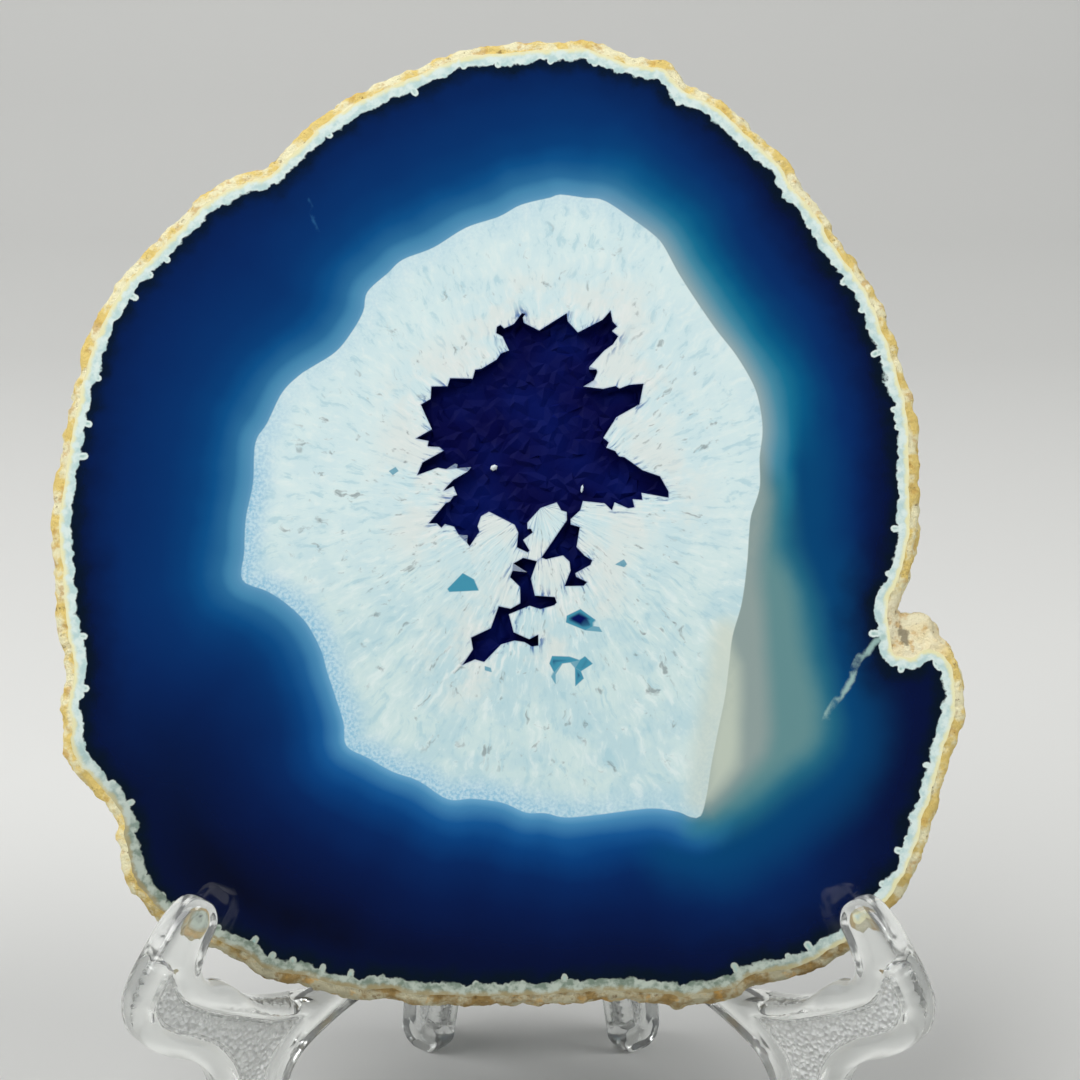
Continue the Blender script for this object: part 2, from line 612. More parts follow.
drawn_loops = [quartz_edge] + [np.array(gap) for gap in DYED_GAPS]
face_spots, face_tris = triangulate(face_edge, drawn_loops, hollow_mouths)
back_spots, back_tris = triangulate(back_edge, drawn_loops + hollow_mouths, [])
print("polished face:", len(face_tris), "triangles | back:", len(back_tris))

# %% [markdown]
# ## Put the slice together
#
# The polished face, the walls of the hollow, the rind and the sawn back become one mesh.
# Each is its own shell, so the edge between polish and rind stays crisp without any
# splitting of normals. The finished slab leans back by 20 degrees.

# %% Place the slice and make mesh helpers
SLICE_LEAN = 20.0
SLICE_ROLL = 1.0
SLICE_ORIGIN = (3.72, 1.69, 73.25)
HOLLOW_DEPTH = 2.3


def slice_place():
    """From the slice's own plane, x right and y up, to the object's frame."""
    place = Vector(SLICE_ORIGIN) * MM
    lean = Matrix.Rotation(math.radians(90.0 - SLICE_LEAN), 4, "X")
    roll = Matrix.Rotation(math.radians(SLICE_ROLL), 4, "Z")
    return Matrix.Translation(place) @ lean @ roll


def at_depth(spots, depth):
    """Points of the face, sunk to a depth below it."""
    return np.column_stack([spots, np.full(len(spots), -depth)])


def loft(rings):
    """Quads between closed rings that have the same number of points."""
    count = len(rings[0])
    quads = []
    for level in range(len(rings) - 1):
        near, far = level * count, (level + 1) * count
        for index in range(count):
            after = (index + 1) % count
            quads.append([near + index, far + index, far + after, near + after])
    return quads


def new_mesh_piece(name, points_mm, faces, place):
    """A new object with a mesh given in mm."""
    mesh = bpy.data.meshes.new(name)
    mesh.from_pydata([tuple(point) for point in np.array(points_mm) * MM], [], faces)
    mesh.update()
    made = bpy.data.objects.new(name, mesh)
    scene.collection.objects.link(made)
    made.matrix_world = place
    return made


def carry(mesh, name, values):
    """Store one value at each point of a mesh, for its material to read."""
    layer = mesh.attributes.new(name, "FLOAT", "POINT")
    layer.data.foreach_set("value", np.asarray(values, np.float32))


print("helpers for meshes ready")

# %% Join the shells
wall_depths = [0.0, 0.15, 0.4, 0.8, 1.5, HOLLOW_DEPTH]
wall_stacks = [[at_depth(mouth, depth) for depth in wall_depths] for mouth in hollow_mouths]
shells = [
    (at_depth(face_spots, 0.0), [list(tri) for tri in face_tris], 0),
    (at_depth(back_spots, THICKNESS), [list(tri)[::-1] for tri in back_tris], 0),
]
shells += [(np.vstack(stack), loft(stack), 2) for stack in wall_stacks]
shells.append((np.vstack(rind_rings), loft(rind_rings), 1))
slice_points = np.vstack([points for points, _, _ in shells])
slice_faces = []
slice_slots = []
first = 0
for points, faces, finish in shells:
    slice_faces += [[first + index for index in face] for face in faces]
    slice_slots += [finish] * len(faces)
    first += len(points)
agate = new_mesh_piece("agate_slab", slice_points, slice_faces, slice_place())
agate.data.polygons.foreach_set("material_index", slice_slots)
agate.data.polygons.foreach_set("use_smooth", [True] * len(slice_faces))
print("slice faces:", len(slice_faces))

# %% Give the slice its pattern
pattern_front = measure(face_spots, face_edge)
pattern_back = measure(back_spots, back_edge)
walls = np.concatenate([np.repeat(wall_depths, len(mouth)) for mouth in hollow_mouths])
side_depths = np.concatenate([np.full(len(face_edge), depth) for depth in ring_depths])
for key in pattern_front:
    filler = np.zeros(len(walls) + len(side_depths))
    if key == "from_hollow":
        filler[:len(walls)] = -walls
    if key == "to_rim":
        filler[len(walls):] = side_depths
    carry(agate.data, key, np.concatenate([pattern_front[key], pattern_back[key], filler]))
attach(agate, "root")
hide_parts("agate_slice")
print("measured at each point:", ", ".join(pattern_front))

# %% [markdown]
# ## Crystals in the hollow
#
# Inside the hollow the quartz ends in free points, and the dye makes them a deep navy.
# Small crystals of this kind show as tight, flat-sided points. We lay a loose grid over
# the hollow's floor, lift its points at random, some of them to tips, and keep flat
# shading, so that each little face catches the light by itself.

# %% Build the crystals
CRYSTAL_PITCH = 0.75
CRYSTAL_SHIFT = 0.9
TIP_FROM = 0.62
CRUST_BOTTOM = HOLLOW_DEPTH - 0.3
WHITE_TIPS = [(-5.0, 8.25, 0.42, 0.3, 20.0), (4.75, 5.7, 0.45, 0.16, 80.0)]
crystal_dice = np.random.default_rng(5)


def crystal_field(mouth, first):
    """The faceted floor of one part of the hollow, as points and triangles."""
    spots = []
    lifts = []
    low = mouth.min(axis=0)
    columns, rows = ((mouth.max(axis=0) - low) / CRYSTAL_PITCH).astype(int) + 1
    for row in range(rows):
        for column in range(columns):
            x, y = low + CRYSTAL_PITCH * np.array((column, row))
            aside = CRYSTAL_SHIFT * noise.noise(Vector((x * 1.9, y * 1.9, 5.0)))
            above = CRYSTAL_SHIFT * noise.noise(Vector((x * 1.9, y * 1.9, 25.0)))
            lift = crystal_dice.random()
            spots.append((x + aside, y + above))
            lifts.append(0.76 + (0.36 if lift > TIP_FROM else 0.12) * lift)
    spots = np.array(spots)
    lifts = np.array(lifts)
    clear = is_inside(spots, mouth) & (distance_to(spots, mouth) > 0.3)
    spots, lifts = spots[clear], lifts[clear]
    flat = [Vector(spot) for spot in np.vstack([mouth, spots])]
    sides = [(i, (i + 1) % len(mouth)) for i in range(len(mouth))]
    points, _, faces, origins, _, _ = delaunay_2d_cdt(flat, sides, [], 1, 1e-5)
    top = []
    for point, origin in zip(points, origins):
        source = origin[0] if origin else 0
        rise = lifts[source - len(mouth)] if source >= len(mouth) else 0.9
        top.append((point.x, point.y, rise - CRUST_BOTTOM))
    return top, [[first + index for index in face] for face in faces]


def white_tip(x, y, long, wide, turn, first):
    """One small pale crystal that stands up in the hollow: a stretched six-sided point."""
    angles = np.radians(np.arange(6) * 60.0)
    ring = np.column_stack([np.cos(angles) * long, np.sin(angles) * wide])
    cos, sin = math.cos(math.radians(turn)), math.sin(math.radians(turn))
    ring = ring @ np.array([[cos, sin], [-sin, cos]]) + (x, y)
    foot, neck, top = -1.6, -0.35, -0.06
    points = [(*spot, foot) for spot in ring] + [(*spot, neck) for spot in ring]
    points.append((x + 0.1, y + 0.05, top))
    pairs = [(first + i, first + (i + 1) % 6) for i in range(6)]
    faces = [[a, b, b + 6, a + 6] for a, b in pairs]
    faces += [[a + 6, b + 6, first + 12] for a, b in pairs]
    return points, faces


def build_crystals():
    """The navy floors of both parts of the hollow and the pale tips, as one piece."""
    points = []
    faces = []
    for mouth in hollow_mouths:
        more_points, more_faces = crystal_field(mouth, len(points))
        points += more_points
        faces += more_faces
    navy_count = len(faces)
    for tip in WHITE_TIPS:
        more_points, more_faces = white_tip(*tip, len(points))
        points += more_points
        faces += more_faces
    made = new_mesh_piece("navy_crystals", points, faces, slice_place())
    slots = [0] * navy_count + [1] * (len(faces) - navy_count)
    made.data.polygons.foreach_set("material_index", slots)
    return made


crystals = build_crystals()
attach(crystals, "root")
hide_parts("crystal_lining")
print("crystal faces:", len(crystals.data.polygons))

# %% [markdown]
# ## Finish of the polished stone
#
# The dye soaks into the porous bands and leaves the dense quartz almost white. Seen from
# the quartz outward, the blue starts pale, turns teal within two or three millimetres and
# ends in navy, which goes nearly black under the rind. So one ramp over the distance from
# the quartz draws most of the stone. The right-hand side, where the bands are wider and
# hazier, gets ramps of its own, blended in by direction.

# %% Colours of the bands
BANDS_LEFT = [(0.0, (96, 152, 186)), (0.5, (80, 141, 179)), (1.4, (64, 130, 170)),
              (2.2, (38, 104, 152)), (4.2, (5, 77, 134)), (6.0, (0, 60, 118)),
              (9.0, (0, 48, 106)), (14.0, (0, 38, 95)), (20.0, (0, 31, 87))]
BANDS_RIGHT = [(0.0, (148, 168, 172)), (0.9, (116, 154, 168)), (1.9, (70, 136, 160)),
               (3.2, (20, 110, 144)), (4.8, (0, 86, 130)), (6.6, (0, 62, 114)),
               (8.6, (0, 44, 102)), (12.0, (0, 32, 88)), (15.0, (0, 15, 62))]
BANDS_BOTTOM = [(0.0, (104, 164, 200)), (0.8, (66, 132, 178)), (2.4, (16, 84, 146)),
                (4.2, (1, 60, 122)), (7.0, (0, 37, 93)), (11.0, (0, 23, 73)),
                (15.0, (0, 13, 56)), (19.0, (0, 4, 30))]
REACH = 22.0


def banded_colour(tree, spot):
    """The dyed bands, from the quartz outward, and the haze at the lower right."""
    from_quartz = measured(tree, "from_quartz")
    wobble = speckle(tree, spot, 0.14, 3.0)
    drift = times(tree, maths(tree, "SUBTRACT", wobble, 0.5), 2.4)
    taken = share_between(tree, from_quartz, 0.5, 5.0)
    depth = maths(tree, "MAXIMUM", with_some(tree, from_quartz, drift, taken), 0.0)
    colour = ramp(tree, depth, REACH, BANDS_LEFT)
    for steps, share in ((BANDS_BOTTOM, "bottom"), (BANDS_RIGHT, "right")):
        colour = over(tree, measured(tree, share), colour, ramp(tree, depth, REACH, steps))
    haze = with_some(tree, measured(tree, "from_haze"), drift, 0.6)
    clear_of_quartz = share_between(tree, from_quartz, 2.6, 5.0)
    glow = share_between(tree, haze, 9.0, 1.0)
    colour = tinted(tree, colour, glow, clear_of_quartz, (0, 66, 114))
    haze_tint = over(tree, share_between(tree, haze, 0.0, -3.6), linear((40, 114, 134)),
                     linear((98, 140, 143)))
    colour = over(tree, share_between(tree, haze, 2.2, -2.2), colour, haze_tint)
    sand = with_some(tree, measured(tree, "from_sand"), drift, 0.3)
    colour = over(tree, share_between(tree, sand, 1.2, -1.6), colour, linear((141, 158, 155)))
    cream = with_some(tree, measured(tree, "from_cream"), drift, 0.3)
    return tinted(tree, colour, share_between(tree, cream, 1.0, -1.4), 0.9, (190, 200, 185))


print("band colours:", len(BANDS_LEFT), "steps on the left")


# %% [markdown]
# ## Finish of the quartz
#
# The white heart is a pack of crystals that all point to the hollow. Cut across, they show
# as long grains, some clear and bluish, some milky, with bright threads between. Plain
# noise does this once the space is bent: the direction from the hollow goes into two
# coordinates and the distance, squeezed, into the third, so each patch is long and radial.

# %% Colours of the quartz
QUARTZ_MIDDLE = (0.0, 4.0, 0.0)
GRAIN_LENGTHWISE = 0.6
GRAIN_BEND = 3.0


def radial_grain(tree, spot, swirl, around):
    """Coordinates in which round patches come out long and pointing to the hollow."""
    centred = vectors(tree, "SUBTRACT", spot, QUARTZ_MIDDLE)
    flat = vectors(tree, "MULTIPLY", centred, (1.0, 1.0, 0.0))
    reach = vectors(tree, "LENGTH", flat)
    ring = vectors(tree, "SCALE", vectors(tree, "NORMALIZE", flat), scale=around)
    lift = add(tree, "CombineXYZ", {"Z": times(tree, reach, GRAIN_LENGTHWISE)}).outputs[0]
    bend = vectors(tree, "SCALE", swirl, scale=GRAIN_BEND)
    return vectors(tree, "ADD", vectors(tree, "ADD", ring, lift), bend)


def quartz_colour(tree, spot):
    """Milky and clear grains, smoky flecks, and the blue that seeps in at both borders."""
    from_quartz = measured(tree, "from_quartz")
    from_hollow = measured(tree, "from_hollow")
    swirl = add(tree, "TexNoise", {"Vector": spot, "Scale": 0.35, "Detail": 2.0}).outputs["Color"]
    cloud = share_between(tree, speckle(tree, spot, 0.16, 4.0, 0.6), 0.40, 0.60)
    colour = over(tree, cloud, linear((186, 214, 219)), linear((203, 224, 223)))
    upper = share_between(tree, part_of(tree, spot, 1), -16.0, 8.0)
    colour = tinted(tree, colour, upper, 0.55, (219, 236, 237))
    thread = speckle(tree, radial_grain(tree, spot, swirl, 46.0), 0.6, 4.0, 0.6)
    shine = share_between(tree, thread, 0.49, 0.70)
    colour = tinted(tree, colour, shine, 0.75, (222, 235, 233))
    veil = share_between(tree, thread, 0.46, 0.32)
    colour = tinted(tree, colour, veil, 0.6, (166, 203, 213))
    warm = times(tree, share_between(tree, from_hollow, 7.0, 1.5), cloud)
    colour = tinted(tree, colour, warm, 0.5, (222, 222, 216))
    flecks = speckle(tree, radial_grain(tree, spot, swirl, 26.0), 0.8, 3.0, 0.6)
    off_the_edge = share_between(tree, from_quartz, -2.0, -5.0)
    smoky = times(tree, share_between(tree, flecks, 0.60, 0.74), off_the_edge)
    colour = tinted(tree, colour, smoky, 0.7, (126, 136, 138))
    cream = share_between(tree, measured(tree, "from_cream"), 3.0, 0.2)
    colour = tinted(tree, colour, cream, 0.8, (206, 214, 200))
    not_right = maths(tree, "SUBTRACT", 1.0, measured(tree, "right"))
    margin = times(tree, share_between(tree, from_quartz, -3.4, -0.1), not_right)
    low = share_between(tree, part_of(tree, spot, 1), 19.0, 5.0)
    left = share_between(tree, part_of(tree, spot, 0), 18.0, -8.0)
    margin = times(tree, margin, with_some(tree, 0.25, times(tree, low, left), 0.6))
    sugar = share_between(tree, speckle(tree, spot, 2.8, 2.0), 0.34, 0.66)
    edge_tint = over(tree, sugar, linear((130, 184, 214)), linear((184, 214, 228)))
    colour = over(tree, margin, colour, edge_tint)
    tips = times(tree, share_between(tree, from_hollow, 3.6, 0.3), shine)
    colour = tinted(tree, colour, tips, 0.6, (230, 234, 232))
    seep = times(tree, share_between(tree, from_hollow, 1.2, 0.0), veil)
    colour = tinted(tree, colour, seep, 0.9, (50, 90, 156))
    return tinted(tree, colour, share_between(tree, from_hollow, 0.22, 0.02), 0.4, (120, 146, 196))


print("quartz recipe ready")

# %% [markdown]
# ## The two stone materials
#
# The polished stone joins the parts: bands outside the quartz edge, quartz inside, navy in
# the gaps, and along the rind a pale chalky band with its tubes. A lapidary polish is
# glassy, so the roughness is very low. The rind is the opposite: dry, cream to ochre, dark
# in its pits, and never glossy.

# %% Values for the stone materials
NAVY = (0, 10, 82)
BAND_WIDTH = 1.25
NOTCH_MIDDLE = (40.5, -11.0, 0.0)
NOTCH_CAVITY = (39.9, -11.1, 0.0)
QUARTZ_IOR = 1.54
print("rim band, mm:", BAND_WIDTH)


# %% Cracks and rim
def with_cracks(tree, colour, spot):
    """A white healed crack below the notch and a faint feather at the upper left."""
    ragged = speckle(tree, spot, 1.1, 4.0, 0.7)
    to_crack = with_some(tree, measured(tree, "to_crack"), ragged, 0.5)
    colour = tinted(tree, colour, share_between(tree, to_crack, 0.74, 0.36), 0.85, (158, 190, 184))
    to_feather = with_some(tree, measured(tree, "to_feather"), ragged, 0.5)
    return tinted(tree, colour, share_between(tree, to_feather, 0.6, 0.25), 0.35, (60, 128, 176))


def with_rim(tree, colour, spot):
    """The dark stone, the growth tubes and the chalky band that lie just inside the rind."""
    rim = measured(tree, "to_rim")
    ragged = maths(tree, "SUBTRACT", speckle(tree, spot, 0.33, 3.0, 0.6), 0.5)
    wide = with_some(tree, rim, ragged, 3.0)
    shade = with_some(tree, 0.86, measured(tree, "upper_left"), -0.56)
    colour = tinted(tree, colour, share_between(tree, wide, 7.0, 1.4), shade, (0, 12, 52))
    colour = tinted(tree, colour, share_between(tree, wide, 3.2, 1.3), 0.8, (2, 17, 24))
    rough = maths(tree, "SUBTRACT", speckle(tree, spot, 0.8, 4.0, 0.6), 0.5)
    to_tube = with_some(tree, measured(tree, "to_tube"), rough, 0.5)
    low = share_between(tree, measured(tree, "bottom"), 0.1, 0.9)
    chalk_light = over(tree, low, linear((214, 229, 224)), linear((170, 180, 168)))
    chalk_dark = over(tree, low, linear((178, 206, 205)), linear((106, 122, 108)))
    tube_core = share_between(tree, to_tube, 0.02, 0.22)
    tube_tint = over(tree, tube_core, linear((150, 184, 178)), chalk_light)
    colour = over(tree, share_between(tree, to_tube, 0.44, 0.32), colour, tube_tint)
    inner = with_some(tree, with_some(tree, rim, ragged, 1.7), rough, 1.1)
    band = share_between(tree, inner, BAND_WIDTH + 0.1, BAND_WIDTH - 0.1)
    chalk = over(tree, share_between(tree, rough, -0.14, 0.1), chalk_dark, chalk_light)
    outer = share_between(tree, with_some(tree, rim, rough, 1.4), 0.62, 0.1)
    warm = over(tree, low, linear((238, 228, 168)), linear((150, 134, 92)))
    chalk = over(tree, times(tree, outer, 0.8), chalk, warm)
    return over(tree, band, colour, chalk), band


print("cracks and rim ready")


# %% The polished stone
def polished_stone():
    """Bands, quartz, dyed gaps and rim, joined at the borders that the mesh measured."""
    finish, tree, shader = new_finish("polished dyed agate")
    spot = millimetres(tree)
    bands = banded_colour(tree, spot)
    quartz = quartz_colour(tree, spot)
    in_quartz = share_between(tree, measured(tree, "from_quartz"), 0.07, -0.07)
    colour = over(tree, in_quartz, bands, quartz)
    from_gap = measured(tree, "from_gap")
    left = share_between(tree, part_of(tree, spot, 0), -3.0, -6.0)
    shallow = maths(tree, "MAXIMUM", left, share_between(tree, from_gap, -0.5, -0.1))
    teal = over(tree, shallow, linear((0, 14, 84)), linear((66, 144, 170)))
    gap = share_between(tree, from_gap, 0.10, -0.04)
    colour = over(tree, gap, colour, teal)
    hollow = share_between(tree, measured(tree, "from_hollow"), 0.05, -0.05)
    colour = over(tree, hollow, colour, linear(NAVY))
    colour, band = with_rim(tree, colour, spot)
    colour = with_cracks(tree, colour, spot)
    put(shader.inputs["Base Color"], colour)
    put(shader.inputs["Roughness"], with_some(tree, 0.05, band, 0.4))
    shader.inputs["IOR"].default_value = QUARTZ_IOR
    return finish


print("polished stone ready")


# %% The rough rind
def off(tree, spot, middle, stretch):
    """How far a place is from a middle, with x, y and z stretched by their own factors."""
    from_middle = vectors(tree, "SUBTRACT", spot, middle)
    return vectors(tree, "LENGTH", vectors(tree, "MULTIPLY", from_middle, stretch))


def rough_rind():
    """Cream and ochre in patches, duller below, with rust, pits and the notch's cavity."""
    finish, tree, shader = new_finish("rough rind")
    spot = millimetres(tree)
    patches = share_between(tree, speckle(tree, spot, 0.34, 4.0, 0.6), 0.42, 0.58)
    colour = over(tree, patches, linear((247, 240, 198)), linear((236, 208, 122)))
    low = share_between(tree, part_of(tree, spot, 1), -32.0, -48.0)
    dull = over(tree, patches, linear((176, 170, 142)), linear((128, 100, 58)))
    colour = over(tree, times(tree, low, 0.85), colour, dull)
    in_notch = share_between(tree, off(tree, spot, NOTCH_MIDDLE, (1.0, 1.0, 0.0)), 5.6, 3.2)
    colour = tinted(tree, colour, in_notch, 0.75, (240, 231, 198))
    rust = share_between(tree, speckle(tree, spot, 0.62, 3.0, 0.6), 0.54, 0.68)
    colour = tinted(tree, colour, rust, 0.6, (204, 156, 70))
    to_cavity = off(tree, spot, NOTCH_CAVITY, (1.5, 0.8, 0.0))
    to_cavity = with_some(tree, to_cavity, speckle(tree, spot, 1.4, 3.0), 2.4)
    cavity = share_between(tree, to_cavity, 2.3, 1.7)
    colour = tinted(tree, colour, cavity, 0.8, (116, 106, 84))
    pits = share_between(tree, speckle(tree, spot, 1.0, 4.0, 0.65), 0.40, 0.30)
    colour = tinted(tree, colour, pits, 0.7, (120, 90, 44))
    put(shader.inputs["Base Color"], colour)
    shader.inputs["Roughness"].default_value = 0.85
    shader.inputs["IOR"].default_value = 1.5
    grain = speckle(tree, spot, 2.6, 5.0, 0.7)
    bump = add(tree, "Bump", {"Height": grain, "Strength": 0.8, "Distance": 0.0005})
    put(shader.inputs["Normal"], bump.outputs[0])
    return finish


print("rough rind ready")


# %% The crystals' finish, and every stone finish put on
def crystal_finish(name, deep, light, roughness):
    """A crystal that goes from a deep to a lighter colour in soft clouds."""
    finish, tree, shader = new_finish(name)
    spot = millimetres(tree)
    cloud = share_between(tree, speckle(tree, spot, 0.12, 2.0), 0.35, 0.65)
    put(shader.inputs["Base Color"], over(tree, cloud, linear(deep), linear(light)))
    shader.inputs["Roughness"].default_value = roughness
    shader.inputs["IOR"].default_value = QUARTZ_IOR
    return finish


agate.data.materials.append(polished_stone())
agate.data.materials.append(rough_rind())
agate.data.materials.append(crystal_finish("hollow wall", NAVY, (0, 20, 92), 0.4))
crystals.data.materials.append(crystal_finish("dyed crystal", (0, 2, 62), (0, 14, 82), 0.6))
crystals.data.materials.append(crystal_finish("clear tip", (196, 214, 226), (228, 234, 232), 0.1))
dyed_shader = crystals.data.materials[0].node_tree.nodes["Principled BSDF"]
dyed_shader.inputs["Specular IOR Level"].default_value = 0.05
print("stone materials:", [finish.name for finish in agate.data.materials])

# %% [markdown]
# ## Clear easel
#
# Two moulded plates cross and slot together behind the slice. Each has a rounded rib all
# round and a thinner web inside it with a pebbled face. A plate is a flat shape whose
# thickness changes smoothly from rib to web, so we triangulate its outline once, give
# every point its half thickness from how far it is from the edge and from the web, and
# mirror that to the other side. The mould's soft corners come out by themselves.

# %% Outlines of a plate
PLATE_OUTLINE = [
    (46.9, 40.3), (49.3, 38.9), (51.6, 36.2), (53.8, 33.2), (54.9, 30.2), (54.2, 27.0),
    (51.6, 24.3), (48.0, 22.2), (45.7, 19.4), (44.9, 15.0), (45.0, 8.5), (45.9, 3.4),
    (45.6, 1.0), (43.6, -0.3), (39.6, -0.3), (37.6, 1.0), (37.2, 5.0), (36.9, 13.0),
    (35.2, 17.6), (31.0, 20.4), (24.0, 22.8), (12.0, 24.8), (0.0, 24.8), (-7.0, 22.0),
    (-11.0, 16.0), (-13.0, 8.5), (-14.0, 3.0), (-14.6, 0.9), (-16.2, -0.3), (-18.9, -0.3),
    (-20.6, 1.0), (-20.9, 4.0), (-19.6, 12.0), (-16.6, 22.0), (-13.0, 32.0), (-10.4, 44.0),
    (-9.4, 56.0), (-9.0, 66.0), (-7.6, 70.4), (-4.2, 72.0), (0.0, 72.0), (3.4, 71.2),
    (5.3, 68.4), (6.2, 64.0), (7.4, 55.0), (9.6, 46.0), (13.4, 38.8), (19.0, 33.6),
    (22.4, 31.6), (25.2, 29.4), (26.2, 26.6), (28.8, 24.4), (35.5, 25.2), (40.0, 26.7),
    (43.0, 29.4), (45.4, 30.4), (46.5, 32.4), (45.6, 35.0), (44.4, 37.2), (44.8, 39.4),
]
HOOK_WEB = [
    (50.0, 33.6), (50.7, 33.0), (51.8, 31.4), (52.4, 30.0), (51.9, 28.0), (50.3, 26.3),
    (46.8, 24.2), (44.2, 21.8), (42.7, 18.2), (42.6, 12.0), (42.9, 5.5), (42.3, 3.2),
    (40.6, 3.2), (39.8, 5.2), (39.3, 13.0), (38.2, 18.4), (35.6, 21.0), (34.2, 22.8),
    (38.0, 23.8), (42.0, 25.7), (45.4, 27.4), (48.4, 29.6), (49.4, 32.0),
]
BACK_WEB = [
    (24.4, 25.6), (23.0, 27.7), (19.8, 29.8), (16.3, 32.4), (11.5, 37.0), (7.7, 43.8),
    (5.3, 52.0), (4.0, 62.0), (3.2, 67.0), (1.0, 69.2), (-3.8, 69.4), (-6.0, 68.0),
    (-6.8, 64.0), (-7.1, 56.0), (-8.1, 44.6), (-10.6, 33.0), (-14.4, 22.0), (-17.2, 12.0),
    (-18.4, 4.6), (-17.6, 3.0), (-16.6, 3.6), (-15.2, 9.6), (-13.0, 17.2), (-8.4, 24.0),
    (-1.0, 27.4), (12.0, 27.2), (20.0, 25.9),
]
CROSSING = (2.52, 10.89)
PLATE_ANGLE = 49.0
HALF_THICK = 2.0
HALF_WEB = 1.0
ROUNDING = 1.1
RIB_WIDTH = 2.3
SLOT_HALF = 2.6
SLOT_HEIGHT = 50.0
ARCH_CLEAR = 10.0
SPINE_TOP = 72.0
LEFT_SLOT = (SLOT_HEIGHT, SPINE_TOP + 9.0)
RIGHT_SLOT = (ARCH_CLEAR, SLOT_HEIGHT + 0.3)
FRONT_PRONG = 10.0
FILLET = 0.55
WEB_STEP = 0.35
PLATE_GRID = 0.62
plate_edge = smooth_loop(PLATE_OUTLINE, 0.5)
print("plate outline points:", len(plate_edge))


# %% Thickness and place of a plate
def box_distance(spots, low, high):
    """Signed distance to a rectangle, below zero inside it."""
    away = np.maximum(np.array(low) - spots, spots - np.array(high))
    outside = np.linalg.norm(np.maximum(away, 0.0), axis=1)
    return outside + np.minimum(away.max(axis=1), 0.0)


def slot_frame(slot):
    """The low and high corners of the thick frame round a slot."""
    rib = SLOT_HALF + RIB_WIDTH
    front = FRONT_PRONG if slot[1] > SPINE_TOP else rib
    return (-rib, slot[0] - RIB_WIDTH), (front, slot[1] + RIB_WIDTH)


def web_distance(spots, slot):
    """Signed distance to the thin web of a plate, below zero inside it."""
    keep = box_distance(spots, *slot_frame(slot))
    hook = signed_distance(spots, smooth_loop(HOOK_WEB, 0.7))
    back = np.maximum(signed_distance(spots, smooth_loop(BACK_WEB, 0.7)), -keep)
    return np.minimum(hook, back)


def half_thickness(spots, slot):
    """Rounded at the plate's edge, full on the rib, and sunk to the web by a soft fillet."""
    edge_in = np.clip(distance_to(spots, plate_edge), 0.0, ROUNDING)
    crown = HALF_THICK - ROUNDING + np.sqrt(ROUNDING ** 2 - (ROUNDING - edge_in) ** 2)
    share = np.clip((web_distance(spots, slot) + FILLET) / (2 * FILLET), 0.0, 1.0)
    sink = HALF_WEB + (HALF_THICK - HALF_WEB) * share * share * (3 - 2 * share)
    return np.minimum(crown, sink)


def plate_place(side):
    """From a plate's own outline, x toward its hook and y up, to the object's frame."""
    angle = math.radians(PLATE_ANGLE)
    along = Vector((side * math.sin(angle), -math.cos(angle), 0.0))
    up = Vector((0.0, 0.0, 1.0))
    across = along.cross(up)
    turn = Matrix((along, up, across)).transposed().to_4x4()
    return Matrix.Translation(Vector((*CROSSING, 0.0)) * MM) @ turn


def web_rows(slot):
    """Rows of points along the border of the web, so that its fillet comes out even."""
    (left, low), (right, high) = slot_frame(slot)
    up = np.arange(low, high, WEB_STEP)
    across = np.arange(left, right, WEB_STEP)
    lines = [smooth_loop(HOOK_WEB, WEB_STEP), smooth_loop(BACK_WEB, WEB_STEP)]
    lines += [np.column_stack([np.full(len(up), x), up]) for x in (left, right)]
    lines += [np.column_stack([across, np.full(len(across), y)]) for y in (low, high)]
    rows = []
    for line in lines:
        for level in (-FILLET, -0.5 * FILLET, 0.0, 0.5 * FILLET, FILLET):
            row = line + right_hand(line) * level
            reached = np.abs(web_distance(row, slot))
            rows.append(row[np.abs(reached - abs(level)) < 0.05])
    return np.vstack(rows)


def well_inside(spots, margin):
    """The points that are inside the plate, by more than a margin."""
    spots = spots[is_inside(spots, plate_edge)]
    return spots[distance_to(spots, plate_edge) > margin]


def plate_spots(slot):
    """Grid points inside a plate, with rows along its edge and web, where it is round."""
    wide = honeycomb(plate_edge.min(axis=0), plate_edge.max(axis=0), PLATE_GRID)
    wide = well_inside(wide, 1.45)
    rows = [wide[np.abs(web_distance(wide, slot)) > FILLET + 0.2]]
    rows.append(well_inside(web_rows(slot), 1.3))
    for step in (0.08, 0.3, 0.62, 1.0, 1.2):
        rows.append(well_inside(plate_edge + right_hand(plate_edge) * step, step * 0.9))
    return np.vstack(rows)


def build_plate(name, side, slot):
    """One plate as a closed mesh, before its slot and flat feet are cut."""
    flat = [Vector(spot) for spot in np.vstack([plate_edge, plate_spots(slot)])]
    count = len(plate_edge)
    sides = [(i, (i + 1) % count) for i in range(count)]
    spots, _, faces, _, _, _ = delaunay_2d_cdt(flat, sides, [], 1, 1e-6)
    spots = np.array([tuple(spot) for spot in spots])
    half = half_thickness(spots, slot)
    web = web_distance(spots, slot)
    near = np.column_stack([spots, half])
    far = np.column_stack([spots, -half])
    total = len(spots)
    tris = [list(face) for face in faces] + [[total + i for i in face][::-1] for face in faces]
    used = [side for face in faces for side in zip(face, list(face[1:]) + [face[0]])]
    known = set(used)
    rim = [[b, a, total + a, total + b] for a, b in used if (b, a) not in known]
    plate = new_mesh_piece(name, np.vstack([near, far]), tris + rim, plate_place(side))
    carry(plate.data, "web_depth", np.concatenate([web, web]))
    return plate


stand_left = build_plate("clear_plate_left", -1, LEFT_SLOT)
stand_right = build_plate("clear_plate_right", 1, RIGHT_SLOT)
print("plate triangles:", len(stand_left.data.polygons), len(stand_right.data.polygons))


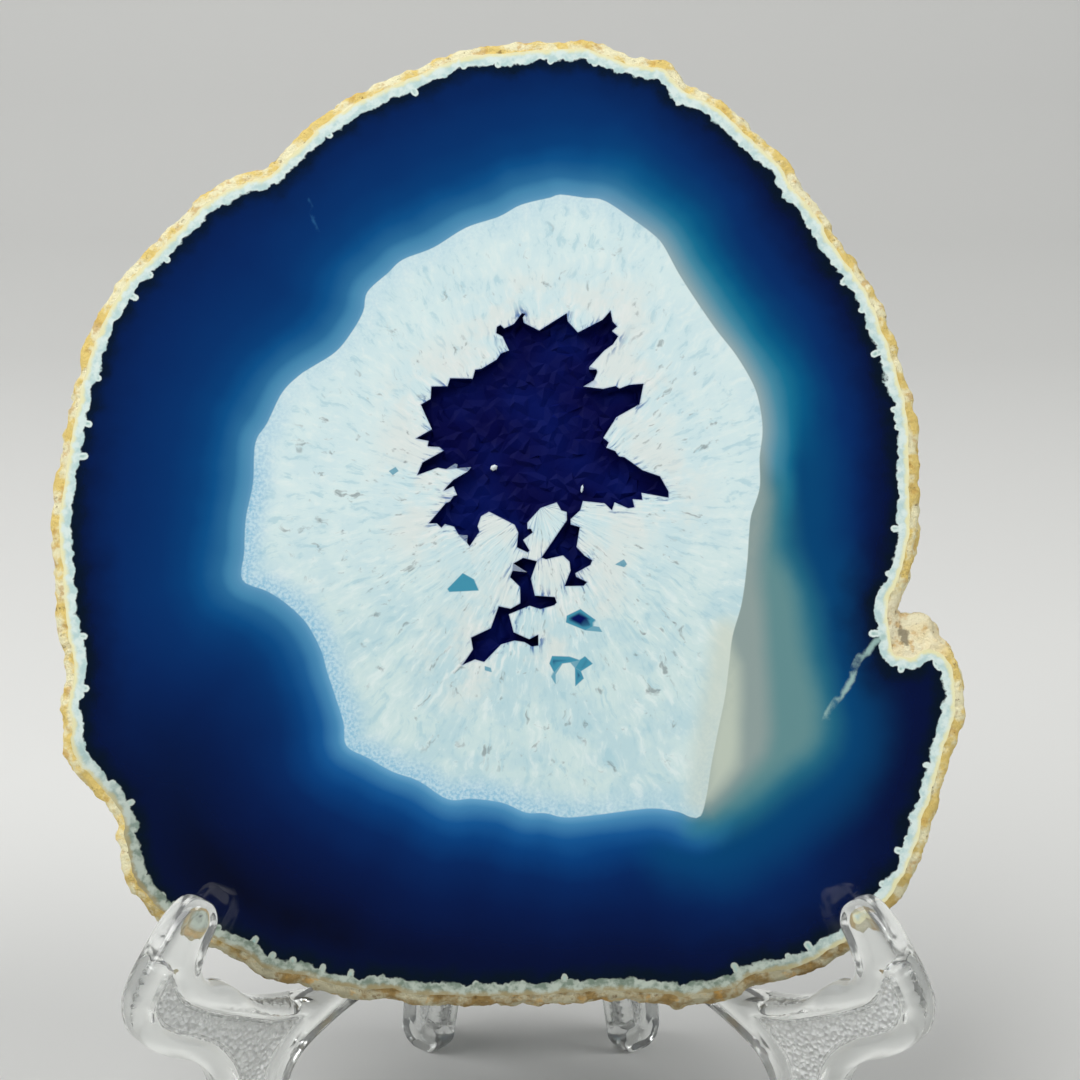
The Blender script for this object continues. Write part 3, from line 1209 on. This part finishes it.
# %% [markdown]
# ## Cut the slots and feet
#
# The slots and the flat soles are true cuts, so they are made with boxes and a Boolean
# modifier, applied at once. After it, only the sharp edges of the cuts stay sharp.

# %% Cut the plates
def cutting_box(low, high, place):
    """A box that goes right through a plate."""
    corners = [(x, y, z) for x in (low[0], high[0]) for y in (low[1], high[1]) for z in (-9.0, 9.0)]
    faces = [(0, 1, 3, 2), (4, 6, 7, 5), (0, 4, 5, 1), (2, 3, 7, 6), (0, 2, 6, 4), (1, 5, 7, 3)]
    return new_mesh_piece("cutting box", corners, faces, place)


def cut_away(plate, low, high):
    """Take a box, from low to high on the plate's own outline, out of a plate."""
    cutter = cutting_box(low, high, plate.matrix_world.copy())
    step = plate.modifiers.new("cut", "BOOLEAN")
    step.operation = "DIFFERENCE"
    step.solver = "EXACT"
    step.object = cutter
    bpy.context.view_layer.update()
    seen = plate.evaluated_get(bpy.context.evaluated_depsgraph_get())
    mesh = bpy.data.meshes.new_from_object(seen)
    plate.modifiers.clear()
    plate.data = mesh
    bpy.data.objects.remove(cutter, do_unlink=True)


for plate, (slot_from, slot_to) in ((stand_left, LEFT_SLOT), (stand_right, RIGHT_SLOT)):
    cut_away(plate, (-SLOT_HALF, slot_from), (SLOT_HALF, slot_to))
    cut_away(plate, (-70.0, -9.0), (70.0, 0.0))
    plate.data.polygons.foreach_set("use_smooth", [True] * len(plate.data.polygons))
    plate.data.set_sharp_from_angle(angle=math.radians(40.0))
    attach(plate, "root")
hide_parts("stand_left_half")
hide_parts("stand_right_half")
print("plates cut:", len(stand_left.data.polygons), len(stand_right.data.polygons))

# %% [markdown]
# ## Clear plastic
#
# The plates are clear moulded acrylic or polystyrene: light goes through and bends at
# index 1.49. The ribs are glossy. The webs carry a fine pebble from the mould, which
# scatters what is behind them, so their roughness and bump are higher.


# %% Make the clear plastic
PLASTIC_IOR = 1.49
PEBBLE_SCALE = 1.7
PEBBLE_HEIGHT = 1.1


def clear_plastic():
    """Clear on the ribs, pebbled and a little cloudy on the webs."""
    finish, tree, shader = new_finish("clear moulded plastic")
    spot = millimetres(tree)
    web = share_between(tree, measured(tree, "web_depth"), 0.0, -0.7)
    pebble = add(tree, "TexVoronoi", {"Vector": spot, "Scale": PEBBLE_SCALE})
    height = times(tree, pebble.outputs["Distance"], web)
    bump = add(tree, "Bump", {"Height": height, "Strength": 0.75, "Distance": PEBBLE_HEIGHT * MM})
    put(shader.inputs["Normal"], bump.outputs[0])
    put(shader.inputs["Roughness"], with_some(tree, 0.03, web, 0.25))
    shader.inputs["Base Color"].default_value = linear((248, 250, 248))
    put(shader.inputs["Transmission Weight"], with_some(tree, 0.93, web, -0.47))
    shader.inputs["IOR"].default_value = PLASTIC_IOR
    return finish


plastic = clear_plastic()
for plate in (stand_left, stand_right):
    plate.data.materials.clear()
    plate.data.materials.append(plastic)
print("plastic on both plates")

# %% [markdown]
# ## Studio
#
# A pale floor that curves up behind, one broad soft light above and to the left, a weaker
# one to the right, and a dim surround. The polished face mirrors what is in front of it
# and above, so that place is kept dim, or the navy would be washed out.

# %% Floor and lights
LIT_SPOT = (0.0, 0.0, 0.06)
SURROUND_STRENGTH = 0.12
FLOOR_HALF = 4500.0
FLOOR_ROWS = [(-3500.0, 0.0), (550.0, 0.0), (750.0, 20.0), (900.0, 80.0), (1020.0, 200.0),
              (1080.0, 400.0), (1100.0, 900.0)]
floor_points = [(x, y, z) for y, z in FLOOR_ROWS for x in (-FLOOR_HALF, FLOOR_HALF)]
floor_faces = [(2 * i, 2 * i + 1, 2 * i + 3, 2 * i + 2) for i in range(len(FLOOR_ROWS) - 1)]
floor = new_mesh_piece("studio floor", floor_points, floor_faces, Matrix.Identity(4))
floor.data.polygons.foreach_set("use_smooth", [True] * len(floor_faces))
floor_finish, _, floor_shader = new_finish("pale floor")
floor_shader.inputs["Base Color"].default_value = linear((218, 218, 215))
floor_shader.inputs["Roughness"].default_value = 0.8
floor.data.materials.append(floor_finish)


def soft_light(name, spot, size, watts):
    """A round light of some width, in metres, turned to the middle of the object."""
    light = bpy.data.lights.new(name, "AREA")
    light.shape = "DISK"
    light.size = size
    light.energy = watts
    made = bpy.data.objects.new(name, light)
    made.location = spot
    way = Vector(LIT_SPOT) - Vector(spot)
    made.rotation_euler = way.to_track_quat("-Z", "Y").to_euler()
    scene.collection.objects.link(made)
    return made


soft_light("main softbox", (-0.6, -0.33, 0.98), 1.2, 14.6)
soft_light("side softbox", (0.75, -0.35, 1.15), 0.7, 9.4)
world = bpy.data.worlds.new("surround")
world.use_nodes = True
surround = world.node_tree.nodes["Background"]
surround.inputs["Color"].default_value = linear((205, 210, 214))
surround.inputs["Strength"].default_value = SURROUND_STRENGTH
scene.world = world
print("studio ready")
